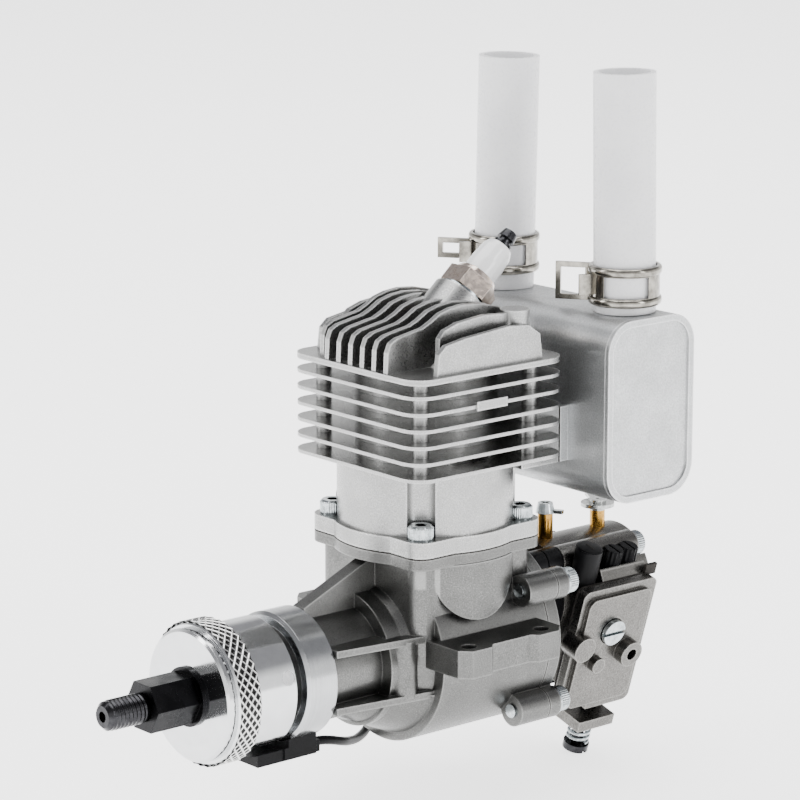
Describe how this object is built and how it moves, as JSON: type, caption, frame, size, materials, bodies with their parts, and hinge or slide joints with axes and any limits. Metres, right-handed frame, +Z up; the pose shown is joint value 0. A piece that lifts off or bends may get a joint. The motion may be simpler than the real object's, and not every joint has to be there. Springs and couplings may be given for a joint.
{
  "type": "model aircraft engine",
  "caption": "Air-cooled single-cylinder two-stroke petrol engine with a rear carburettor, twin-outlet silencer, beam-mount lugs and a threaded propeller shaft.",
  "frame": {"origin": "where the crankshaft's axis meets the cylinder's axis, which is also the centre of the four beam-mount holes on the underside of the lugs", "axes": "+Z up along the cylinder, -Y forwards along the crankshaft to the propeller end, +X to the side with the fuel pump cover"},
  "size_m": [0.0813, 0.1878, 0.2073],
  "materials": {
    "cast_alloy": "cast and bead-blasted",
    "silencer_alloy": "satin, bead-blasted",
    "turned_alloy": "turned, bright",
    "piston_alloy": "machined",
    "ground_steel": "ground",
    "shaft_steel": "dark, oiled",
    "black_steel": "black oxide",
    "zinc_steel": "zinc plated",
    "plug_nickel": "nickel plated",
    "clamp_steel": "spring steel",
    "ceramic": "glazed",
    "brass": "turned",
    "gasket": "fibre sheet",
    "black_rubber": "matt",
    "black_plastic": "moulded",
    "tube_plastic": "milky, heat resistant",
    "magnet": "plated"
  },
  "bodies": {
    "engine": {"crankcase": "cast_alloy", "base_gasket": "gasket", "cylinder": "cast_alloy", "cylinder_screws": "zinc_steel", "plug_shell": "plug_nickel", "plug_washer": "zinc_steel", "plug_insulator": "ceramic", "plug_terminal": "shaft_steel", "bearing_outer_races": "ground_steel", "shaft_seal": "black_rubber", "sensor_ring": "turned_alloy", "sensor_module": "black_plastic", "sensor_lead": "black_rubber", "sensor_hank": "black_rubber", "sensor_plug": "black_plastic", "rear_housing": "cast_alloy", "intake_gaskets": "gasket", "rear_screws": "zinc_steel", "reed_block": "black_plastic", "reed_petals": "black_plastic", "carb_insulator": "black_plastic", "carb_body": "cast_alloy", "carb_screws": "zinc_steel", "pump_gasket": "gasket", "pump_cover": "cast_alloy", "cover_screw": "zinc_steel", "metering_cover": "cast_alloy", "needle_boot": "black_rubber", "idle_spring": "zinc_steel", "exhaust_gasket": "gasket", "muffler_body": "silencer_alloy", "muffler_caps": "silencer_alloy", "muffler_screws": "zinc_steel", "outlet_tube_right": "tube_plastic", "outlet_tube_left": "tube_plastic", "tube_clamp_right": "clamp_steel", "tube_clamp_left": "clamp_steel"},
    "crank": {"crankshaft": "shaft_steel", "bearing_inner_races": "ground_steel", "prop_hub": "turned_alloy", "drive_key": "ground_steel", "timing_magnet": "magnet", "prop_washer": "turned_alloy", "prop_nut": "black_steel", "lock_nut": "black_steel"},
    "piston": {"piston": "piston_alloy", "piston_ring": "ground_steel", "wrist_pin": "ground_steel", "wrist_clips": "shaft_steel"},
    "rod": {"connecting_rod": "ground_steel", "rod_bearings": "brass", "crankpin": "ground_steel"},
    "throttle": {"throttle_shaft": "brass", "throttle_lever": "zinc_steel", "throttle_plate": "brass"},
    "choke": {"choke_shaft": "brass", "choke_plate": "brass"},
    "high_needle": {"needle_high": "black_plastic"},
    "low_needle": {"needle_low": "black_plastic"},
    "idle_stop": {"idle_screw": "zinc_steel"}
  },
  "joints": [
    {"name": "crank_spin", "type": "hinge", "parent": "engine", "child": "crank", "pos_m": [0, 0, 0], "axis": [0, 1, 0], "continuous": true},
    {"name": "piston_slide", "type": "slide", "parent": "engine", "child": "piston", "axis": [0, 0, 1], "range_m": [-0.025, 0]},
    {"name": "rod_swing", "type": "hinge", "parent": "piston", "child": "rod", "pos_m": [0, 0, 0.0625], "axis": [0, 1, 0], "range_deg": [-14.4, 14.4]},
    {"name": "throttle_turn", "type": "hinge", "parent": "engine", "child": "throttle", "pos_m": [0, 0.046, 0], "axis": [0, 0, 1], "range_deg": [0, 75]},
    {"name": "choke_turn", "type": "hinge", "parent": "engine", "child": "choke", "pos_m": [0, 0.067, 0], "axis": [0, 0, 1], "range_deg": [0, 85]},
    {"name": "high_needle_turn", "type": "hinge", "parent": "engine", "child": "high_needle", "pos_m": [0.01014, 0.0576, -0.0031], "axis": [0.2924, 0, 0.9563], "range_deg": [-360, 540]},
    {"name": "low_needle_turn", "type": "hinge", "parent": "engine", "child": "low_needle", "pos_m": [0.01014, 0.0636, -0.0031], "axis": [0.2924, 0, 0.9563], "range_deg": [-360, 540]},
    {"name": "idle_stop_turn", "type": "hinge", "parent": "engine", "child": "idle_stop", "pos_m": [0.01282, 0.0588, -0.00392], "axis": [0.2924, 0, 0.9563], "range_deg": [-180, 540]}
  ]
}
